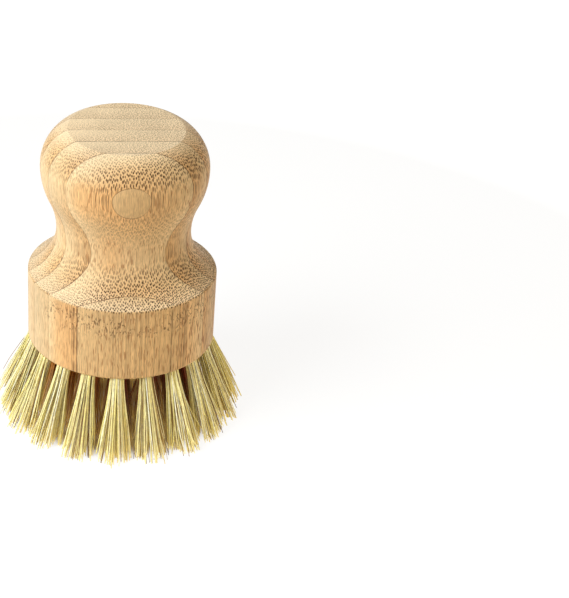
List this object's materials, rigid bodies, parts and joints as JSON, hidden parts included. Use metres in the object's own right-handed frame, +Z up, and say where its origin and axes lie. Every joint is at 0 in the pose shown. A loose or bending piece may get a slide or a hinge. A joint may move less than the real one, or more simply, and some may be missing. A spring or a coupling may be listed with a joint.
{
  "type": "palm brush",
  "caption": "Knob-shaped palm brush of laminated bamboo, with flared tufts of stiff pale plant fibre set in the underside of its round base.",
  "frame": {"origin": "where the turning axis meets the surface the tufts stand on", "axes": "+Z up along the turning axis, from the tufts' tips to the crown; -Y is the front, square to the plies"},
  "size_m": [0.0724, 0.0724, 0.0908],
  "materials": {
    "bamboo": "sanded, lightly oiled",
    "plant_fibre": "dry natural fibre",
    "anchor_steel": "rolled strip"
  },
  "bodies": {
    "root": {"centre_tuft": "plant_fibre", "inner_tuft_1": "plant_fibre", "inner_tuft_2": "plant_fibre", "inner_tuft_3": "plant_fibre", "inner_tuft_4": "plant_fibre", "inner_tuft_5": "plant_fibre", "inner_tuft_6": "plant_fibre", "inner_tuft_7": "plant_fibre", "middle_tuft_1": "plant_fibre", "middle_tuft_10": "plant_fibre", "middle_tuft_11": "plant_fibre", "middle_tuft_12": "plant_fibre", "middle_tuft_13": "plant_fibre", "middle_tuft_14": "plant_fibre", "middle_tuft_2": "plant_fibre", "middle_tuft_3": "plant_fibre", "middle_tuft_4": "plant_fibre", "middle_tuft_5": "plant_fibre", "middle_tuft_6": "plant_fibre", "middle_tuft_7": "plant_fibre", "middle_tuft_8": "plant_fibre", "middle_tuft_9": "plant_fibre", "outer_tuft_1": "plant_fibre", "outer_tuft_10": "plant_fibre", "outer_tuft_11": "plant_fibre", "outer_tuft_12": "plant_fibre", "outer_tuft_13": "plant_fibre", "outer_tuft_14": "plant_fibre", "outer_tuft_15": "plant_fibre", "outer_tuft_16": "plant_fibre", "outer_tuft_17": "plant_fibre", "outer_tuft_18": "plant_fibre", "outer_tuft_19": "plant_fibre", "outer_tuft_2": "plant_fibre", "outer_tuft_3": "plant_fibre", "outer_tuft_4": "plant_fibre", "outer_tuft_5": "plant_fibre", "outer_tuft_6": "plant_fibre", "outer_tuft_7": "plant_fibre", "outer_tuft_8": "plant_fibre", "outer_tuft_9": "plant_fibre", "ply_1_base": "bamboo", "ply_1_head": "bamboo", "ply_2": "bamboo", "ply_3": "bamboo", "ply_4": "bamboo", "ply_5": "bamboo", "ply_6": "bamboo", "ply_7": "bamboo", "ply_8": "bamboo", "ply_9": "bamboo", "tuft_anchors": "anchor_steel"}
  },
  "joints": []
}
